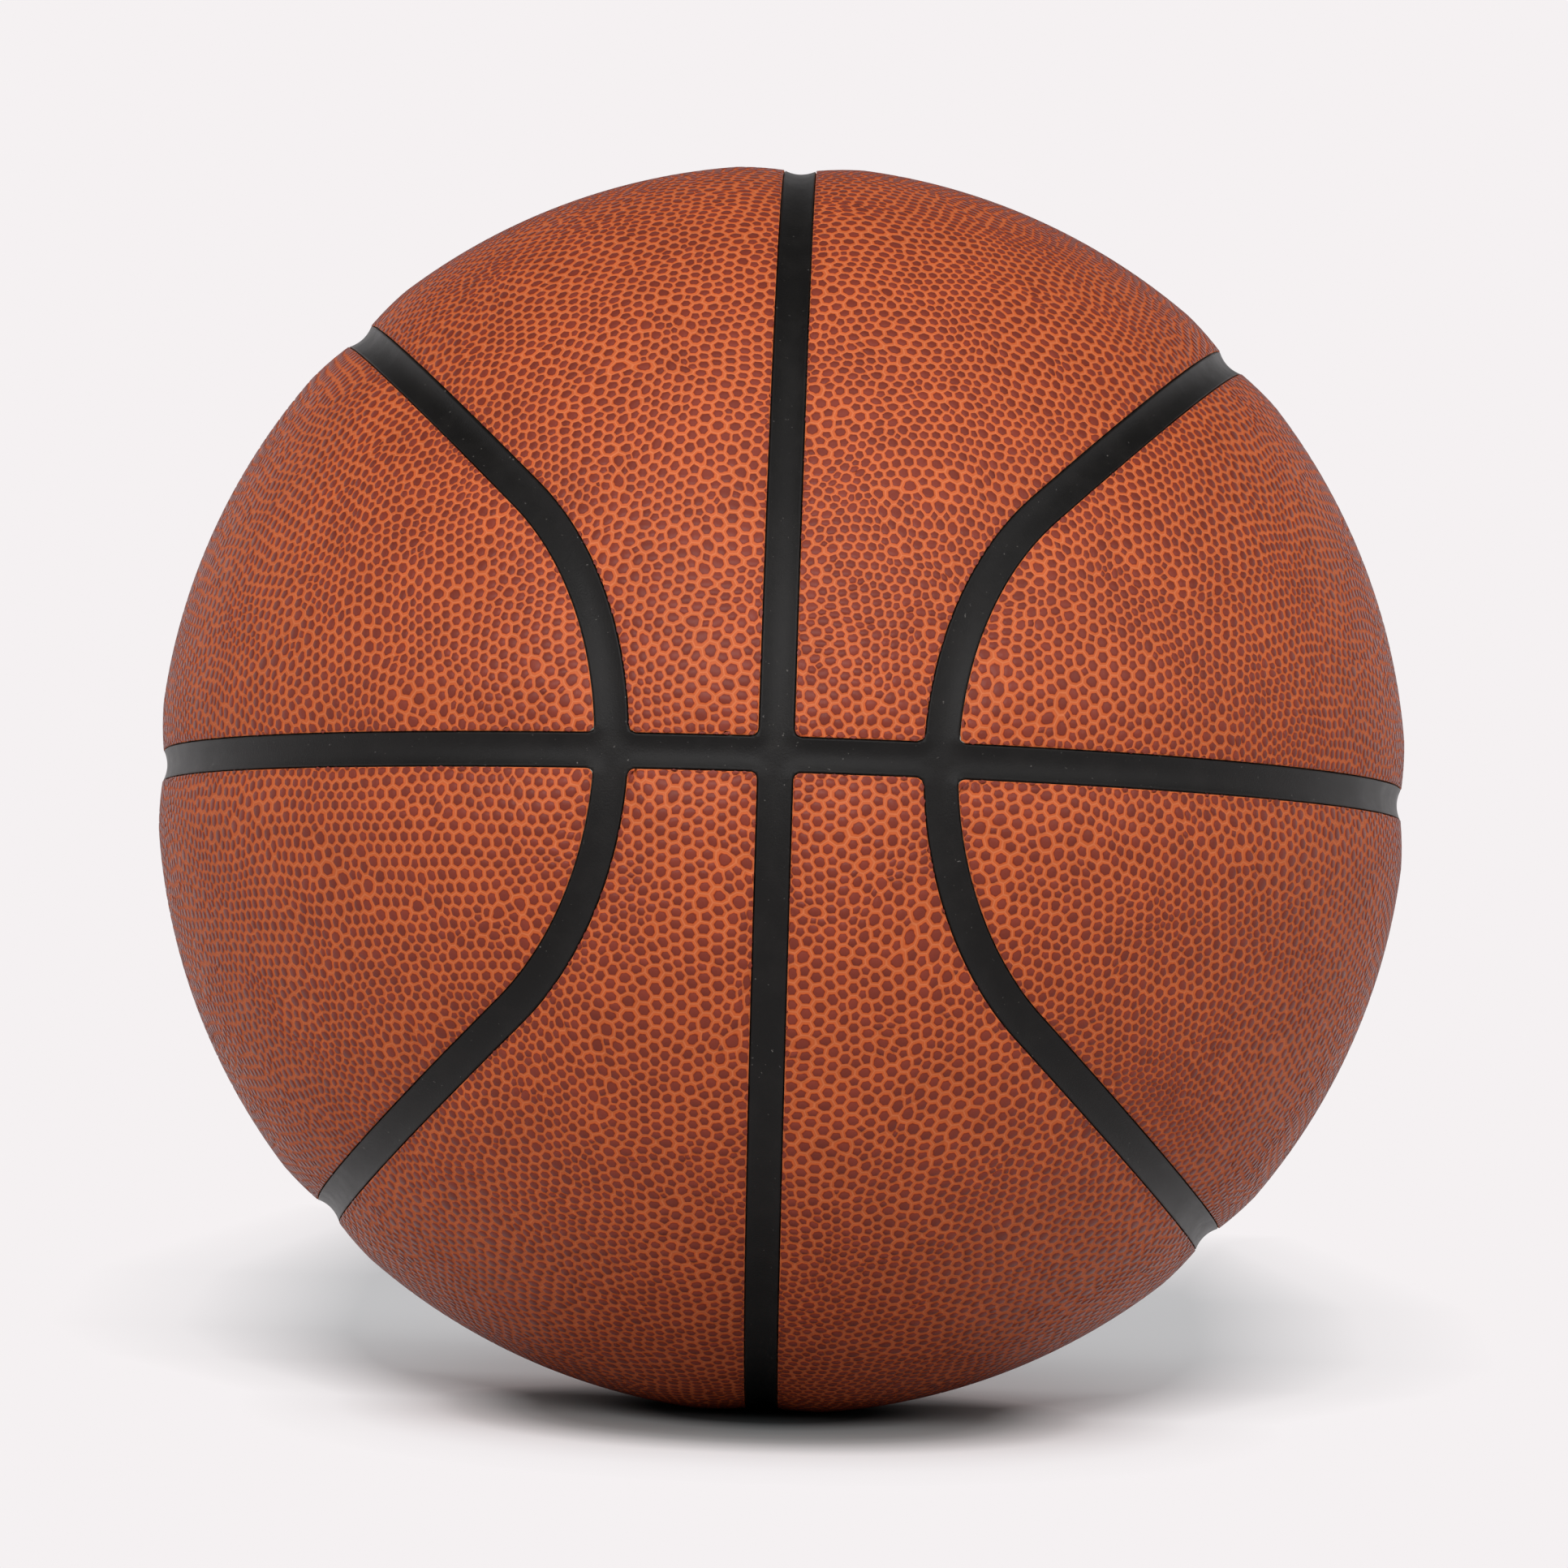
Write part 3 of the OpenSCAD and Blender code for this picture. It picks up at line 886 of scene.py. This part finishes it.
class BALL_OT_channels(bpy.types.Operator):
    """Build the black rubber channels between the panels"""

    bl_idname = "ball.channels"
    bl_label = "Channels"

    def execute(self, context):
        scene = context.scene
        channels, cover = scene.ball_channels, scene.ball_cover
        pattern = Pattern(channels, cover)
        rubber = channel_rubber(scene.ball_finish)
        parts = (pattern, channels, cover, rubber)
        channel_strip(*parts, "channel_horizontal", horizontal_path)
        for height, z_sign in (("top", 1), ("bottom", -1)):
            channel_strip(*parts, f"channel_vertical_{height}", vertical_path, 1, z_sign)
            for side, x_sign in (("left", -1), ("right", 1)):
                node = f"channel_loop_{side}_{height}"
                channel_strip(*parts, node, loop_path, x_sign, z_sign)
        return {"FINISHED"}


class BALL_OT_covers(bpy.types.Operator):
    """Build the eight pebbled cover panels"""

    bl_idname = "ball.covers"
    bl_label = "Cover panels"

    def execute(self, context):
        scene = context.scene
        channels, cover = scene.ball_channels, scene.ball_cover
        pattern = Pattern(channels, cover)
        leather = pebbled_leather(scene.ball_finish)
        for number, panel in enumerate(PANELS):
            cover_panel(pattern, cover, leather, panel, number)
        return {"FINISHED"}


def soft_light(name, azimuth, elevation, distance, size, level):
    """A softbox that faces the ball: azimuth 0 is the front, and level is how much of a white
    surface's brightness it gives."""
    around, up = math.radians(azimuth), math.radians(elevation)
    place = distance * Vector((
        math.sin(around) * math.cos(up), -math.cos(around) * math.cos(up), math.sin(up)
    ))
    data = bpy.data.lights.new(name, "AREA")
    data.shape = "RECTANGLE"
    data.size, data.size_y = size
    data.energy = level * (math.pi * distance) ** 2
    lamp = bpy.data.objects.new(name, data)
    lamp.location = place
    lamp.rotation_euler = (-place).to_track_quat("-Z", "Y").to_euler()
    bpy.context.scene.collection.objects.link(lamp)


def add_camera(studio):
    """The camera of the photograph, in the ball's frame."""
    to_camera = (
        Matrix.Rotation(studio.roll, 3, "Z")
        @ Matrix.Rotation(studio.pitch, 3, "X")
        @ Matrix.Rotation(studio.yaw, 3, "Y")
    )
    upright = Matrix(((1, 0, 0), (0, 0, -1), (0, 1, 0)))
    turned = upright @ to_camera.transposed()
    focal_px = studio.radius_px * math.sqrt(studio.distance ** 2 - 1)
    aside = (studio.image / 2 - studio.centre_x_px) / focal_px
    above = (studio.centre_y_px - studio.image / 2) / focal_px
    data = bpy.data.cameras.new("camera")
    data.sensor_width = 36
    data.lens = data.sensor_width * focal_px / studio.image
    data.clip_start, data.clip_end = 0.01, 50
    camera = bpy.data.objects.new("camera", data)
    aim = turned @ Matrix.Rotation(-aside, 3, "Y") @ Matrix.Rotation(above, 3, "X")
    place = turned @ Vector((0, 0, studio.distance * BALL_R))
    camera.matrix_world = Matrix.Translation(place) @ aim.to_4x4()
    bpy.context.scene.collection.objects.link(camera)
    bpy.context.scene.camera = camera


def seen_directly(paint):
    """1 for the rays that show a surface as it looks, 0 for those that only light others."""
    rays = paint.add("ShaderNodeLightPath")
    camera = paint.wire(rays, "Is Camera Ray")
    mirrored = paint.wire(rays, "Is Glossy Ray")
    through = paint.wire(rays, "Is Transmission Ray")
    return camera.larger(mirrored).larger(through)


def studio_floor(studio, level):
    """A pale floor that keeps the ball's shadow and runs out into the background. Round the
    ball its colour is darkened as a painted shadow.
    """
    paint = Paint("studio_floor")
    place = paint.wire(paint.add("ShaderNodeTexCoord"), "Object")
    split = paint.add("ShaderNodeSeparateXYZ", {}, {0: place})
    x, y = paint.wire(split, "X"), paint.wire(split, "Y")
    before = y.smaller(0.0) * studio.stretch
    behind = y.larger(0.0)
    under = (x * x + before * before + behind * behind) ** 0.5
    # The floor's colour, darkened round the ball as a painted shadow over the real one
    shades = [*CONTACT_PAINTED_SHADOW, (LIT_FROM, studio.shadow_colour)]
    shaded = paint.ramp(under * (1 / (2 * studio.contact)), shades)
    start, end = (size / SPREAD_UNIT for size in (studio.shadow_width, studio.haze_width))
    spread = paint.curve(behind, [
        (place, start + part * (end - start)) for place, part in SHADOW_SPREAD
    ])
    aside = (x * x + before * before) ** 0.5
    side = paint.curve(aside / (spread * SIDE_REACH), SIDE_FADE)
    fade = side.larger(paint.curve(behind, BACK_FADE))
    diffuse = paint.wire(paint.add("ShaderNodeBsdfDiffuse", {}, {"Color": shaded}))
    glow = paint.wire(paint.add(
        "ShaderNodeEmission", {}, {"Color": opaque(studio.backdrop), "Strength": 1.0}
    ))
    dim = paint.wire(paint.add("ShaderNodeBsdfDiffuse", {}, {"Color": opaque(DIM_FLOOR)}))
    seen = paint.blend(fade, diffuse, glow)
    surface = paint.blend(seen_directly(paint), dim, seen)
    paint.add("ShaderNodeOutputMaterial", {}, {"Surface": surface})
    mesh = bmesh.new()
    bmesh.ops.create_circle(
        mesh, cap_ends=True, cap_tris=False, radius=FLOOR_RADIUS, segments=96
    )
    bmesh.ops.translate(mesh, verts=mesh.verts[:], vec=(0, 0, level))
    data = bpy.data.meshes.new("floor")
    mesh.to_mesh(data)
    mesh.free()
    data.materials.append(paint.material)
    floor = bpy.data.objects.new("floor", data)
    bpy.context.scene.collection.objects.link(floor)
    floor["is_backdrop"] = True


def studio_world(studio):
    """A pale backdrop under a dark ceiling for the camera and for reflections, and a soft
    ambient light."""
    paint = Paint("studio", world=True)
    towards = paint.wire(paint.add("ShaderNodeTexCoord"), "Generated")
    up = paint.wire(paint.add("ShaderNodeSeparateXYZ", {}, {0: towards}), "Z")
    shown = paint.ramp(up, [(BACKDROP_END, studio.backdrop), (CEILING_START, CEILING)])
    soft = paint.wire(paint.add(
        "ShaderNodeBackground", {}, {"Color": opaque(studio.backdrop), "Strength": studio.ambient}
    ))
    sharp = paint.wire(paint.add("ShaderNodeBackground", {}, {"Color": shown, "Strength": 1.0}))
    mixed = paint.blend(seen_directly(paint), soft, sharp)
    paint.add("ShaderNodeOutputWorld", {}, {"Surface": mixed})
    bpy.context.scene.world = paint.material


class BALL_OT_stage(bpy.types.Operator):
    """Set up the floor, the world, the softboxes and the camera"""

    bl_idname = "ball.stage"
    bl_label = "Stage"

    def execute(self, context):
        scene = context.scene
        studio = scene.ball_studio
        scene.view_settings.view_transform = "Standard"
        studio_world(studio)
        studio_floor(studio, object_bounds()[0].z)
        levels = (studio.front, studio.side / 2, studio.side, studio.top)
        for (name, place), level in zip(LAMPS.items(), levels):
            soft_light(name, *place, level)
        add_camera(studio)
        return {"FINISHED"}


class BALL_PT_panel(bpy.types.Panel):
    """The ball's sizes, finishes and pieces"""

    bl_idname = "BALL_PT_panel"
    bl_label = "Basketball"
    bl_space_type = "VIEW_3D"
    bl_region_type = "UI"
    bl_category = "Ball"

    def draw(self, context):
        for operator in OPERATORS:
            self.layout.operator(operator.bl_idname)
        for name in GROUPS:
            group = getattr(context.scene, name)
            box = self.layout.box()
            for key in group.bl_rna.properties.keys():
                if key not in ("rna_type", "name"):
                    box.prop(group, key)


GROUPS = {
    "ball_channels": BallChannels,
    "ball_cover": BallCover,
    "ball_finish": BallFinish,
    "ball_studio": BallStudio,
}
OPERATORS = (
    BALL_OT_inner_layers,
    BALL_OT_valve,
    BALL_OT_channels,
    BALL_OT_covers,
    BALL_OT_stage,
)


def register():
    for group in (*GROUPS.values(), *OPERATORS, BALL_PT_panel):
        bpy.utils.register_class(group)
    for name, group in GROUPS.items():
        setattr(bpy.types.Scene, name, PointerProperty(type=group))


def unregister():
    for name in GROUPS:
        delattr(bpy.types.Scene, name)
    for group in (*GROUPS.values(), *OPERATORS, BALL_PT_panel):
        bpy.utils.unregister_class(group)


def main():
    register()
    bpy.ops.ball.inner_layers()
    bpy.ops.ball.valve()
    bpy.ops.ball.channels()
    bpy.ops.ball.covers()
    bpy.ops.ball.stage()


if __name__ == "__main__":
    main()
